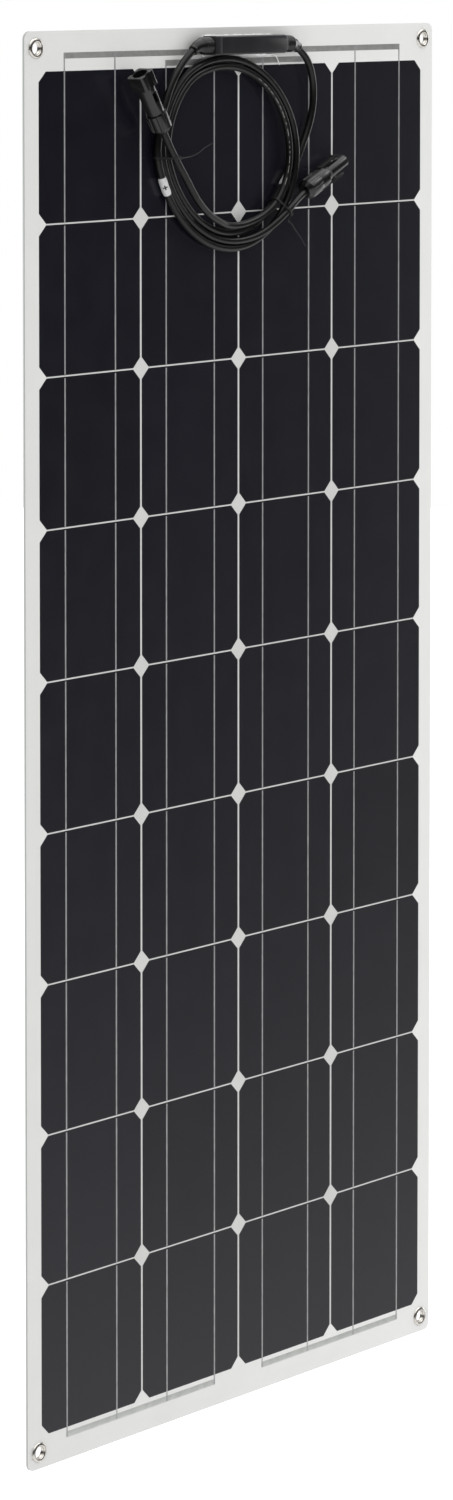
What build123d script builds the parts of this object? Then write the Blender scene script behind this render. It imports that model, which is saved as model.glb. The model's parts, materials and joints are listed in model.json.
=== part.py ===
from build123d import *
import math
import os

# Flexible solar sheet: a thin laminate of 36 cells with four eyelets, a junction box and two leads.
# Frame: +Z up along the sheet, front towards -Y, origin at the centre of the four eyelets on the
# sheet's back face. Millimetres.

# ---- driving dimensions: sheet ----
SHEET_W, SHEET_H = 540.0, 1195.0
SHEET_CORNER_R = 7.0
BACKSHEET_T, ENCAPSULANT_T, FILM_T = 1.0, 1.3, 0.2
SHEET_T = BACKSHEET_T + ENCAPSULANT_T + FILM_T
FRONT_Y = -SHEET_T

# ---- driving dimensions: cells and ribbons ----
COLUMNS, ROWS = 4, 9
GRID_Z = -3.0
CELL = 125.0
WAFER_R = 82.5
COLUMN_PITCH, ROW_PITCH = 127.0, 126.2
CELL_T = 0.2
CELL_FRONT_Y = -1.75
RIBBON_T = 0.15
RIBBON_W = 1.6
RIBBON_OFFSET = 31.25
BUS_W = 5.0
BUS_TOP_Z = 577.0
BUS_MIDDLE_Z = 568.5
BUS_BOTTOM_Z = -576.5
OUTER_RIBBON_X = COLUMN_PITCH * 1.5 + RIBBON_OFFSET
INNER_RIBBON_X = COLUMN_PITCH * 0.5 - RIBBON_OFFSET

# ---- driving dimensions: bending zones ----
# The sheet bends evenly. It is cut here into five stiff panels at four lines between cell rows.
PANEL_NAMES = ["top", "upper", "middle", "lower", "bottom"]
PANEL_ROWS = [2, 2, 2, 2, 1]
PANEL_GAP = 0.3

# ---- driving dimensions: eyelets ----
EYELET_HOLE_R = 5.0
EYELET_FLANGE_R = 8.6
EYELET_BARREL_T = 0.5
EYELET_FLANGE_H = 1.3
WASHER_R = 8.6
WASHER_T = 0.6
EYELET_LIP_R = 6.6
EYELET_LIP_H = 0.5
EYELET_RIM_T = 0.5
EYELET_ROUND = 1.2
EYELET_X, EYELET_Z = 256.0, 583.5

# ---- driving dimensions: junction box ----
BOX_L, BOX_H, BOX_D = 96.0, 16.0, 15.0
BOX_Z = 582.5
BOX_WALL = 1.6
LID_T = 2.4
LID_LEFT_X = -40.0
END_CHAMFER = 4.0
ADHESIVE_T = 0.8
ADHESIVE_MARGIN = 1.0
BOX_BACK_Y = FRONT_Y - ADHESIVE_T
BOX_FRONT_Y = BOX_BACK_Y - BOX_D
LEAD_AXIS_Y = BOX_BACK_Y - BOX_D / 2
TAIL_X = 37.0
TAIL_W, TAIL_T, TAIL_SLOT = 5.0, 0.15, 0.4
PLATE_T = 0.8
DIODE_R, DIODE_L = 2.7, 9.5
CORE_R = 1.3
CORE_LAP = 3.0
PLATE_W = 10.0
DIODE_LEG_R, DIODE_LEG_L = 0.5, 7.0
BOX_EDGE = 0.8
LID_SEAM = 0.3
POTTING_DROP = 0.8

# ---- driving dimensions: connectors, from the cable end of the cap nut to the mouth ----
NUT_R, NUT_L = 9.3, 18.0
NUT_BORE_R = 3.3
SHELL_R = 7.9
PIN_SHELL_L, SOCKET_NOSE_L = 57.0, 60.0
NOSE_R = 5.8
MOUTH_R = 6.4
CONTACT_R = 2.0
FINGER_INNER, FINGER_T, FINGER_W = 8.2, 1.8, 4.4
LATCH_ROOT = 30.0
CLEAR = 0.05
PIN_ORIGIN, PIN_AXIS = (-119.5, -21.0, 512.0), (-0.517, 0, 0.856)
SOCKET_ORIGIN, SOCKET_AXIS = (73.5, -15.0, 453.5), (0.904, 0, 0.427)
NUT_MOUTH_R, NUT_TAPER_L, NUT_THREAD_R, NUT_SHOULDER = 6.0, 4.0, 7.4, 1.2
NUT_FLUTES, FLUTE_R, FLUTE_DEPTH = 8, 2.4, 0.6
SEAL_R, SEAL_START, SEAL_END = 5.6, 5.0, 13.0
CLAMP_R, CLAMP_SLOTS, CLAMP_SLOT_W, CLAMP_SLOT_L = 7.2, 6, 1.2, 10.0
LEAD_END = 14.0
CONTACT_BACK_R, CONTACT_STEP, CONTACT_POINT_L, CONTACT_FLARE = 3.0, 1.0, 2.0, 0.3
BORE_R = 3.2
COLLAR_W, COLLAR_L, COLLAR_CORNER_R = 17.0, 13.0, 2.5
MOUTH_FLOOR, PIN_TIP = 30.0, 51.0
FINGER_SLOT_D, WINDOW_D, WINDOW_L, WINDOW_Z = 3.4, 3.6, 9.0, 34.5
FINGER_PLAY = 1.0
RING_SEAT, RING_W, RING_SEAT_R, RING_R = 32.0, 3.0, 4.9, 6.4
SOCKET_SHELL_R, SOCKET_SHOULDER_L, NOSE_COLLAR_R, NOSE_CHAMFER = 8.9, 1.5, 7.0, 1.0
LUG_L, LUG_DEPTH, LUG_LAP, LUG_GAP = 3.0, 1.4, 1.0, 0.3
FINGER_END, BARB_Z, BARB_H = 53.0, 48.0, 1.0
SOCKET_FLOOR = 36.0

# ---- driving dimensions: leads and their boots ----
LEAD_R = 3.1
BOOT_R, BOOT_TIP_R = 7.4, 4.6
BOOT_STRAIGHT_L = 11.0
BOOT_RING_H = 0.5
BOOT_RINGS = 4
BOOT_LEAN = 33.0
CORE_SHORT = 2.0
ARC_SHARE = 0.45


def along(origin, axis, distance):
    """A point on a connector's axis, that far from the cable end of its cap nut."""
    return tuple(o + distance * a for o, a in zip(origin, axis))


# ---- driving dimensions: routes of the leads, from each boot to the coil and on to its connector ----
POSITIVE_ROUTE = [
    (-68.0, LEAD_AXIS_Y, 579.5), (-78.0, LEAD_AXIS_Y, 573.0), (-87.5, LEAD_AXIS_Y, 563.5),
    (-95.5, -9.8, 551.5), (-101.5, -9.0, 538.0), (-106.5, -8.3, 523.5), (-109.8, -8.0, 508.5),
]
NEGATIVE_ROUTE = [
    (68.0, LEAD_AXIS_Y, 579.5), (78.0, LEAD_AXIS_Y, 573.0), (86.5, LEAD_AXIS_Y, 562.5), (92.0, -9.5, 549.5),
    (93.8, -8.8, 535.0), (92.0, -8.2, 520.5), (87.0, -8.0, 506.5), (80.0, -8.0, 493.0), (73.5, -8.0, 480.0),
]
POSITIVE_TAIL = [
    (34.0, -13.5, 429.5), (50.5, -15.0, 441.0), along(SOCKET_ORIGIN, SOCKET_AXIS, -6.0),
    along(SOCKET_ORIGIN, SOCKET_AXIS, LEAD_END),
]
NEGATIVE_TAIL = [
    (-38.0, -14.0, 432.0), (-52.0, -16.0, 437.5), (-66.0, -18.0, 446.0), (-79.0, -20.0, 457.5),
    (-90.0, -21.0, 471.0), (-102.5, -21.0, 486.5), along(PIN_ORIGIN, PIN_AXIS, -8.0),
    along(PIN_ORIGIN, PIN_AXIS, LEAD_END),
]
COIL_BACK_Y, COIL_T = -4.2, 13.4
COIL_OUTER_C, COIL_OUTER_R = (-19.0, 488.5), (95.0, 83.0)
COIL_INNER_C, COIL_INNER_R = (-18.3, 494.8), (75.0, 63.0)

# ---- driving dimensions: labels and ties ----
LABEL_R, LABEL_L = 3.7, 18.0
POSITIVE_LABEL_C, POSITIVE_LABEL_DIR = (-102.0, -8.0, 465.0), (-0.45, 0, 0.89)
NEGATIVE_LABEL_C, NEGATIVE_LABEL_DIR = (57.0, -8.0, 467.0), (0.25, 0, 0.97)
TIE_T, TIE_W, TIE_CORNER_R = 0.7, 1.6, 3.0
SIDE_TIE_C, SIDE_TIE_ACROSS = (-103.6, -14.2, 489.0), (1, 0, 0)
SIDE_TIE_W, SIDE_TIE_DEPTH = 26.0, 22.6
SIDE_TIE_TAIL = [(-91.5, -20.0, 489.0), (-44.0, -12.0, 500.0)]
LOWER_TIE_C, LOWER_TIE_ACROSS = (44.0, -11.4, 441.0), (0.7, 0, -0.714)
LOWER_TIE_W, LOWER_TIE_DEPTH = 33.0, 16.6
LOWER_TIE_TAIL = [(55.2, -11.0, 429.5), (84.0, -8.0, 405.0)]


def save(name, *solids):
    """Write one node, which may be a group of separate solids."""
    shape = solids[0] if len(solids) == 1 else Compound(children=list(solids))
    shape.label = name
    export_step(shape, f"parts/{name}.step")


def block(x0, x1, y0, y1, z0, z1):
    """A box given by its six faces."""
    return Pos((x0 + x1) / 2, (y0 + y1) / 2, (z0 + z1) / 2) * Box(x1 - x0, y1 - y0, z1 - z0)


def front_plane(y):
    """A sketch plane at that depth, x to the right and z up, drawn towards the front."""
    return Plane(origin=(0, y, 0), x_dir=(1, 0, 0), z_dir=(0, -1, 0))


os.makedirs("parts", exist_ok=True)

# ---- sheet: panel limits ----
row_z = [GRID_Z + ROW_PITCH * ((ROWS - 1) / 2 - r) for r in range(ROWS)]
hinge_z = []
row = 0
for count in PANEL_ROWS[:-1]:
    row += count
    hinge_z.append(row_z[row] + ROW_PITCH / 2)
panel_top = [SHEET_H / 2] + [z - PANEL_GAP / 2 for z in hinge_z]
panel_bottom = [z + PANEL_GAP / 2 for z in hinge_z] + [-SHEET_H / 2]
cell_x = [COLUMN_PITCH * (c - (COLUMNS - 1) / 2) for c in range(COLUMNS)]
eyelet_spots = [(x, z) for z in (EYELET_Z, -EYELET_Z) for x in (-EYELET_X, EYELET_X)]


def eyelet_cutter(radius):
    """Four round cutters through the sheet at the eyelets."""
    return [Pos(x, 0, z) * Rot(90, 0, 0) * Cylinder(radius, 4 * SHEET_T) for x, z in eyelet_spots]


slot_w = TAIL_W + 2 * CLEAR
tail_slots = [block(x - slot_w / 2, x + slot_w / 2, BOX_FRONT_Y + LID_T, CELL_FRONT_Y - RIBBON_T,
                    BUS_TOP_Z - TAIL_SLOT / 2, BUS_TOP_Z + TAIL_SLOT / 2) for x in (-TAIL_X, 0, TAIL_X)]


def layer(index, y0, y1):
    """One layer of one panel, with the sheet's round corners and its eyelet holes."""
    solid = block(-SHEET_W / 2, SHEET_W / 2, y0, y1, panel_bottom[index], panel_top[index])
    outer_z = {0: SHEET_H / 2, len(PANEL_ROWS) - 1: -SHEET_H / 2}.get(index)
    if outer_z is not None:
        corners = solid.edges().filter_by(Axis.Y)
        corners = [e for e in corners if abs(e.center().Z - outer_z) < 0.01]
        solid = fillet(corners, SHEET_CORNER_R)
        solid -= eyelet_cutter(EYELET_HOLE_R + EYELET_BARREL_T + 0.02)
    return solid


def wafer():
    """One cell: a square cut from a round wafer, so its corners are clipped."""
    clip = math.sqrt(WAFER_R**2 - (CELL / 2) ** 2)
    half = CELL / 2
    outline = [(half, clip), (clip, half), (-clip, half), (-half, clip)]
    outline += [(-x, -z) for x, z in outline]
    face = front_plane(CELL_FRONT_Y + CELL_T) * make_face(Polyline(*outline, close=True))
    return extrude(face, CELL_T)


def ribbon(x0, x1, z0, z1):
    """A flat tinned strip lying on the front of the cells."""
    return block(x0, x1, CELL_FRONT_Y - RIBBON_T, CELL_FRONT_Y, z0, z1)


# ---- sheet: five panels of five layers each ----
ribbon_x = [x + side * RIBBON_OFFSET for x in cell_x for side in (-1, 1)]
one_wafer = wafer()
top_bus = [
    ribbon(-OUTER_RIBBON_X - RIBBON_W, -TAIL_X + TAIL_W / 2, BUS_TOP_Z - BUS_W / 2, BUS_TOP_Z + BUS_W / 2),
    ribbon(TAIL_X - TAIL_W / 2, OUTER_RIBBON_X + RIBBON_W, BUS_TOP_Z - BUS_W / 2, BUS_TOP_Z + BUS_W / 2),
    ribbon(-COLUMN_PITCH / 2 - RIBBON_OFFSET - RIBBON_W, COLUMN_PITCH / 2 + RIBBON_OFFSET + RIBBON_W,
           BUS_MIDDLE_Z - BUS_W / 2, BUS_MIDDLE_Z + BUS_W / 2),
    ribbon(-TAIL_W / 2, TAIL_W / 2, BUS_MIDDLE_Z + BUS_W / 2, BUS_TOP_Z + BUS_W / 2),
]
bottom_bus = [
    ribbon(-OUTER_RIBBON_X - RIBBON_W, -INNER_RIBBON_X, BUS_BOTTOM_Z - BUS_W / 2, BUS_BOTTOM_Z + BUS_W / 2),
    ribbon(INNER_RIBBON_X, OUTER_RIBBON_X + RIBBON_W, BUS_BOTTOM_Z - BUS_W / 2, BUS_BOTTOM_Z + BUS_W / 2),
]
row = 0
for i, name in enumerate(PANEL_NAMES):
    rows = row_z[row:row + PANEL_ROWS[i]]
    row += PANEL_ROWS[i]
    cells = [Pos(x, 0, z) * one_wafer for z in rows for x in cell_x]
    strips = []
    for x in ribbon_x:
        outer_column = abs(x) > COLUMN_PITCH
        upper = panel_top[i]
        lower = panel_bottom[i]
        if i == 0:
            upper = (BUS_TOP_Z if outer_column else BUS_MIDDLE_Z) - BUS_W / 2
        if i == len(PANEL_NAMES) - 1:
            lower = BUS_BOTTOM_Z + BUS_W / 2
        strips.append(ribbon(x - RIBBON_W / 2, x + RIBBON_W / 2, lower, upper))
    bedded = cells + strips
    if i == 0:
        bedded += top_bus
    if i == len(PANEL_NAMES) - 1:
        bedded += bottom_bus
    encapsulant = layer(i, -BACKSHEET_T - ENCAPSULANT_T, -BACKSHEET_T) - bedded
    save(f"{name}_backsheet", layer(i, -BACKSHEET_T, 0))
    save(f"{name}_cells", *cells)
    save(f"{name}_cell_ribbons", *strips)
    front_film = layer(i, FRONT_Y, FRONT_Y + FILM_T)
    if i == 0:
        front_film -= tail_slots
        encapsulant -= tail_slots
    save(f"{name}_encapsulant", encapsulant)
    save(f"{name}_front_film", front_film)
save("top_bus_ribbons", *top_bus)
save("bottom_bus_ribbons", *bottom_bus)

# ---- eyelets and their washers ----
def turned(points):
    """A solid of revolution about +Z from (radius, height) points."""
    return revolve(Plane.XZ * make_face(Polyline(*points, close=True)), Axis.Z)


barrel_r = EYELET_HOLE_R + EYELET_BARREL_T
flange_y = SHEET_T + EYELET_FLANGE_H
lip_y = -WASHER_T - EYELET_LIP_H
eyelet = turned([
    (EYELET_HOLE_R, lip_y),
    (EYELET_LIP_R, lip_y),
    (EYELET_LIP_R, -WASHER_T),
    (barrel_r, -WASHER_T),
    (barrel_r, SHEET_T),
    (EYELET_FLANGE_R, SHEET_T),
    (EYELET_FLANGE_R, SHEET_T + EYELET_RIM_T),
    (EYELET_FLANGE_R - EYELET_ROUND, flange_y),
    (EYELET_HOLE_R + EYELET_ROUND, flange_y),
    (EYELET_HOLE_R, SHEET_T + EYELET_RIM_T),
])
washer = Pos(0, 0, -WASHER_T / 2) * (Cylinder(WASHER_R, WASHER_T) - Cylinder(barrel_r + CLEAR, WASHER_T))


def at_eyelets(solid, rows_wanted):
    """Copies at the eyelets of the given rows, their local +Z towards the front."""
    return [Plane(origin=(x, 0, z), z_dir=(0, -1, 0)).location * solid
            for x, z in eyelet_spots if z * rows_wanted > 0]


save("upper_eyelets", *at_eyelets(eyelet, 1))
save("lower_eyelets", *at_eyelets(eyelet, -1))
save("upper_eyelet_washers", *at_eyelets(washer, 1))
save("lower_eyelet_washers", *at_eyelets(washer, -1))

# ---- junction box: adhesive bead, base, lid ----
box_z0, box_z1 = BOX_Z - BOX_H / 2, BOX_Z + BOX_H / 2
inner_x = BOX_L / 2 - BOX_WALL
inner_z0, inner_z1 = box_z0 + BOX_WALL, box_z1 - BOX_WALL
floor_y = BOX_BACK_Y - BOX_WALL
lid_back_y = BOX_FRONT_Y + LID_T
adhesive = block(-BOX_L / 2 - ADHESIVE_MARGIN, BOX_L / 2 + ADHESIVE_MARGIN, BOX_BACK_Y, FRONT_Y,
                 box_z0 - ADHESIVE_MARGIN, box_z1 + ADHESIVE_MARGIN / 2)
adhesive = fillet(adhesive.edges().filter_by(Axis.Y), 2 * ADHESIVE_MARGIN)
save("box_adhesive", adhesive - tail_slots)

body = block(-BOX_L / 2, BOX_L / 2, BOX_FRONT_Y, BOX_BACK_Y, box_z0, box_z1)
right_edges = [e for e in body.edges().filter_by(Axis.Y) if e.center().X > 0]
body = chamfer(right_edges, END_CHAMFER)
long_edges = [e for e in body.edges().filter_by(Axis.X) if e.center().Y < LEAD_AXIS_Y]
body = chamfer(long_edges, BOX_EDGE)
lid_zone = block(LID_LEFT_X, BOX_L, BOX_FRONT_Y, lid_back_y, box_z0, box_z1)
cavity = block(-inner_x, inner_x - END_CHAMFER, lid_back_y, floor_y, inner_z0, inner_z1)
core_bore = Pos(0, LEAD_AXIS_Y, BOX_Z) * Rot(0, 90, 0) * Cylinder(CORE_R + CLEAR, BOX_L + 1)
save("junction_box_base", body - lid_zone - cavity - core_bore - tail_slots)
lid_gap = block(LID_LEFT_X, LID_LEFT_X + LID_SEAM, BOX_FRONT_Y, lid_back_y, box_z0, box_z1)
save("junction_box_lid", (body & lid_zone) - lid_gap)

# ---- junction box: terminals, diodes, lead cores and potting ----
plate_y = floor_y - PLATE_T
plates = []
for x in (-TAIL_X, 0, TAIL_X):
    plate = block(x - PLATE_W / 2, x + PLATE_W / 2, plate_y, floor_y, inner_z0 + CLEAR, inner_z1 - CLEAR)
    plates.append(plate - tail_slots)
diodes = []
for x in (-TAIL_X / 2, TAIL_X / 2):
    diodes.append(Pos(x, plate_y - DIODE_R, BOX_Z) * Rot(0, 90, 0) * Cylinder(DIODE_R, DIODE_L))
    for side in (-1, 1):
        leg_x = x + side * (DIODE_L / 2 + DIODE_LEG_L / 2)
        leg = Cylinder(DIODE_LEG_R, DIODE_LEG_L)
        diodes[-1] += Pos(leg_x, plate_y - DIODE_R, BOX_Z) * Rot(0, 90, 0) * leg
core_end = BOX_L / 2 + BOOT_STRAIGHT_L - CORE_SHORT
core_l = core_end - TAIL_X + CORE_LAP
cores = [Pos(side * (core_end - core_l / 2), LEAD_AXIS_Y, BOX_Z) * Rot(0, 90, 0) * Cylinder(CORE_R, core_l)
         for side in (-1, 1)]
tails = [block(x - TAIL_W / 2, x + TAIL_W / 2, plate_y, CELL_FRONT_Y - RIBBON_T,
               BUS_TOP_Z - TAIL_T / 2, BUS_TOP_Z + TAIL_T / 2) for x in (-TAIL_X, 0, TAIL_X)]
potting = block(-inner_x + CLEAR, inner_x - END_CHAMFER - CLEAR, lid_back_y + POTTING_DROP, floor_y - CLEAR,
                inner_z0 + CLEAR, inner_z1 - CLEAR)
save("terminal_plates", *plates)
save("bypass_diodes", *diodes)
save("lead_cores", *cores)
save("ribbon_tails", *tails)
save("box_potting", potting - plates - diodes - cores - tails)

# ---- boots where the leads leave the box ----
def boot(side, tip):
    """A ribbed collar on the box's end, then a nose that leans the way its lead falls."""
    wall_x = side * BOX_L / 2
    nose_x = wall_x + side * BOOT_STRAIGHT_L
    collar = Pos((wall_x + nose_x) / 2, LEAD_AXIS_Y, BOX_Z) * Rot(0, 90, 0)
    solid = collar * Cylinder(BOOT_R - BOOT_RING_H, BOOT_STRAIGHT_L)
    for k in range(BOOT_RINGS):
        ring_x = wall_x + side * BOOT_STRAIGHT_L * (k + 0.5) / BOOT_RINGS
        ring = Cylinder(BOOT_R, BOOT_STRAIGHT_L / BOOT_RINGS / 2)
        solid += Pos(ring_x, LEAD_AXIS_Y, BOX_Z) * Rot(0, 90, 0) * ring
    base_plane = Plane(origin=(nose_x, LEAD_AXIS_Y, BOX_Z), z_dir=(side, 0, 0))
    tip_plane = Plane(origin=tip, z_dir=boot_direction(side))
    nose = loft([base_plane * Circle(BOOT_R - BOOT_RING_H), tip_plane * Circle(BOOT_TIP_R)])
    return solid + nose - core_bore_long


def boot_direction(side):
    """Where a lead points as it leaves its boot."""
    lean = math.radians(BOOT_LEAN)
    return (side * math.cos(lean), 0, -math.sin(lean))


core_bore_long = Pos(0, LEAD_AXIS_Y, BOX_Z) * Rot(0, 90, 0) * Cylinder(CORE_R + CLEAR, 2 * core_end)
positive_exit = POSITIVE_ROUTE[0]
negative_exit = NEGATIVE_ROUTE[0]
save("left_boot", boot(-1, positive_exit))
save("right_boot", boot(1, negative_exit))

# ---- leads: tubes from the boots to the coil, the coil, tails from the coil to the connectors ----
def tube(name, points):
    """A lead along straight runs joined by tangent arcs, as large as the runs allow."""
    corners = [Vector(*p) for p in points]
    radii = []
    for before, here, after in zip(corners, corners[1:], corners[2:]):
        turn = math.radians((here - before).get_angle(after - here))
        run = min((here - before).length, (after - here).length)
        radii.append(ARC_SHARE * run / math.tan(turn / 2))
    path = FilletPolyline(*corners, radius=radii)
    section = Plane(origin=path @ 0, z_dir=path % 0) * Circle(LEAD_R)
    solid = sweep(section, path=path)
    ratio = solid.volume / (math.pi * LEAD_R**2 * path.length)
    print(name, "length", round(path.length, 1), "volume ratio", round(ratio, 4))
    print(name, "radii", [round(r) for r in radii])
    save(name, solid)


tube("positive_lead", POSITIVE_ROUTE)
tube("negative_lead", NEGATIVE_ROUTE)
tube("positive_tail", POSITIVE_TAIL)
tube("negative_tail", NEGATIVE_TAIL)
coil_plane = front_plane(COIL_BACK_Y)
coil_ring = Pos(*COIL_OUTER_C) * Ellipse(*COIL_OUTER_R) - Pos(*COIL_INNER_C) * Ellipse(*COIL_INNER_R)
save("lead_coil", extrude(coil_plane * coil_ring, COIL_T))


# ---- what is on the leads: labels and ties ----
def label(centre, direction):
    """A printed sleeve round one strand."""
    plane = Plane(origin=centre, z_dir=direction)
    return plane.location * (Cylinder(LABEL_R, LABEL_L) - Cylinder(LEAD_R + CLEAR, LABEL_L))


def tie(centre, across, width, depth, tail_points):
    """A flat loop round the strands, and the loose end of the tie."""
    plane = Plane(origin=centre, x_dir=across, z_dir=Vector(*across).cross(Vector(0, -1, 0)))
    loop = RectangleRounded(width, depth, TIE_CORNER_R)
    loop -= RectangleRounded(width - 2 * TIE_T, depth - 2 * TIE_T, TIE_CORNER_R - TIE_T)
    band = extrude(plane * loop, TIE_W / 2, both=True)
    start, end = (Vector(*p) for p in tail_points)
    run = end - start
    tail_end = Plane(origin=(start + end) * 0.5, z_dir=run).location * Cylinder(TIE_T / 2, run.length)
    return band + tail_end


save("positive_label", label(POSITIVE_LABEL_C, POSITIVE_LABEL_DIR))
save("negative_label", label(NEGATIVE_LABEL_C, NEGATIVE_LABEL_DIR))
save("side_tie", tie(SIDE_TIE_C, SIDE_TIE_ACROSS, SIDE_TIE_W, SIDE_TIE_DEPTH, SIDE_TIE_TAIL))
save("lower_tie", tie(LOWER_TIE_C, LOWER_TIE_ACROSS, LOWER_TIE_W, LOWER_TIE_DEPTH, LOWER_TIE_TAIL))

# ---- connectors: parts both share ----
pin_seat = Plane(origin=PIN_ORIGIN, x_dir=(0, -1, 0), z_dir=PIN_AXIS).location
socket_across = (-SOCKET_AXIS[2], 0, SOCKET_AXIS[0])
socket_seat = Plane(origin=SOCKET_ORIGIN, x_dir=socket_across, z_dir=SOCKET_AXIS).location
seats = [pin_seat, socket_seat]


def ring(r_out, r_in, z0, z1):
    """A plain ring about +Z."""
    return Pos(0, 0, (z0 + z1) / 2) * (Cylinder(r_out, z1 - z0) - Cylinder(r_in, z1 - z0 + 1))


nut = turned([
    (NUT_BORE_R, 0),
    (NUT_MOUTH_R, 0),
    (NUT_R, NUT_TAPER_L),
    (NUT_R, NUT_L),
    (NUT_THREAD_R, NUT_L),
    (NUT_THREAD_R, NUT_TAPER_L),
    (NUT_BORE_R, NUT_TAPER_L - NUT_SHOULDER),
])
for k in range(NUT_FLUTES):
    flute = Pos(NUT_R + FLUTE_R - FLUTE_DEPTH, 0, NUT_L / 2 + NUT_TAPER_L) * Cylinder(FLUTE_R, NUT_L)
    nut -= Rot(0, 0, 360 / NUT_FLUTES * k) * flute
clamp = ring(CLAMP_R, SEAL_R + CLEAR, NUT_TAPER_L + CLEAR, SEAL_END)
for k in range(CLAMP_SLOTS):
    slot = Pos(CLAMP_R, 0, NUT_TAPER_L) * Box(2 * CLAMP_R, CLAMP_SLOT_W, CLAMP_SLOT_L)
    clamp -= Rot(0, 0, 360 / CLAMP_SLOTS * k) * slot
seal = ring(SEAL_R, LEAD_R + CLEAR, SEAL_START, SEAL_END)
save("connector_cap_nuts", *[seat * nut for seat in seats])
save("connector_clamp_cages", *[seat * clamp for seat in seats])
save("connector_gland_seals", *[seat * seal for seat in seats])

# ---- pin-side connector: square mouth with a window on two sides, and its contact pin ----
shank = ring(NUT_THREAD_R - CLEAR, BORE_R, SEAL_END + CLEAR, NUT_L)
pin_shell = shank + ring(SHELL_R, BORE_R, NUT_L, PIN_SHELL_L)
collar_face = Pos(0, 0, PIN_SHELL_L - COLLAR_L) * RectangleRounded(COLLAR_W, COLLAR_W, COLLAR_CORNER_R)
collar = extrude(collar_face, COLLAR_L)
pin_shell += collar
pin_shell -= Pos(0, 0, (MOUTH_FLOOR + PIN_SHELL_L) / 2) * Cylinder(MOUTH_R, PIN_SHELL_L - MOUTH_FLOOR + 0.01)
for side in (-1, 1):
    slot = Box(FINGER_SLOT_D, FINGER_W + FINGER_PLAY, 2 * COLLAR_L)
    window = Box(WINDOW_D, FINGER_W + FINGER_PLAY, WINDOW_L)
    pin_shell -= Pos(side * COLLAR_W / 2, 0, PIN_SHELL_L) * slot
    pin_shell -= Pos(side * SHELL_R, 0, WINDOW_Z) * window
contact_pin = turned([
    (0, LEAD_END + CLEAR),
    (CONTACT_BACK_R, LEAD_END + CLEAR),
    (CONTACT_BACK_R, MOUTH_FLOOR + CONTACT_STEP),
    (CONTACT_R, MOUTH_FLOOR + 2 * CONTACT_STEP),
    (CONTACT_R, PIN_TIP - CONTACT_POINT_L),
    (CONTACT_R / 2, PIN_TIP),
    (0, PIN_TIP),
])
save("pin_connector_shell", pin_seat * pin_shell)
save("contact_pin", pin_seat * contact_pin)

# ---- socket-side connector: narrow nose, sealing ring, two latch fingers, contact socket ----
socket_body = turned([
    (BORE_R, SEAL_END + CLEAR),
    (NUT_THREAD_R - CLEAR, SEAL_END + CLEAR),
    (NUT_THREAD_R - CLEAR, NUT_L),
    (SOCKET_SHELL_R, NUT_L),
    (SOCKET_SHELL_R, LATCH_ROOT - SOCKET_SHOULDER_L),
    (NOSE_COLLAR_R, LATCH_ROOT),
    (NOSE_COLLAR_R, RING_SEAT),
    (RING_SEAT_R, RING_SEAT),
    (RING_SEAT_R, RING_SEAT + RING_W),
    (NOSE_R, RING_SEAT + RING_W),
    (NOSE_R, SOCKET_NOSE_L - NOSE_CHAMFER),
    (NOSE_R - NOSE_CHAMFER, SOCKET_NOSE_L),
    (BORE_R, SOCKET_NOSE_L),
])
for side in (-1, 1):
    lug = block(FINGER_INNER - LUG_DEPTH, FINGER_INNER + FINGER_T, -FINGER_W / 2, FINGER_W / 2,
                LATCH_ROOT - LUG_L - LUG_LAP, LATCH_ROOT - LUG_GAP)
    socket_body += Rot(0, 0, 90 - 90 * side) * lug
finger_outline = [
    (FINGER_INNER, LATCH_ROOT),
    (FINGER_INNER + FINGER_T, LATCH_ROOT),
    (FINGER_INNER + FINGER_T, BARB_Z - BARB_H),
    (FINGER_INNER + FINGER_T + BARB_H, BARB_Z),
    (FINGER_INNER + FINGER_T, BARB_Z + 3 * BARB_H),
    (FINGER_INNER + FINGER_T - BARB_H, FINGER_END),
    (FINGER_INNER, FINGER_END),
]
finger = extrude(Plane.XZ * make_face(Polyline(*finger_outline, close=True)), FINGER_W / 2, both=True)
contact_socket = turned([
    (0, LEAD_END + CLEAR),
    (CONTACT_BACK_R, LEAD_END + CLEAR),
    (CONTACT_BACK_R, SOCKET_NOSE_L - CONTACT_STEP),
    (CONTACT_R + CONTACT_FLARE, SOCKET_NOSE_L - CONTACT_STEP),
    (CONTACT_R, SOCKET_NOSE_L - 2 * CONTACT_STEP),
    (CONTACT_R, SOCKET_FLOOR),
    (0, SOCKET_FLOOR),
])
sealing_ring = ring(RING_R, RING_SEAT_R + CLEAR, RING_SEAT + CLEAR, RING_SEAT + RING_W - CLEAR)
save("socket_connector_body", socket_seat * socket_body)
save("socket_sealing_ring", socket_seat * sealing_ring)
save("contact_socket", socket_seat * contact_socket)
save("latch_finger_upper", socket_seat * finger)
save("latch_finger_lower", socket_seat * Rot(0, 0, 180) * finger)
for side in (1, -1):
    hinge = socket_seat * Pos(side * (FINGER_INNER + FINGER_T / 2), 0, LATCH_ROOT)
    print("latch hinge", side, [round(v, 3) for v in hinge.position], "axis +-Y")
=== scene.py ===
"""The looks of a flexible solar sheet with a junction box and two coiled leads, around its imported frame."""

import json
import math
import random

import bmesh
import bpy
from mathutils import Matrix, Vector


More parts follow.
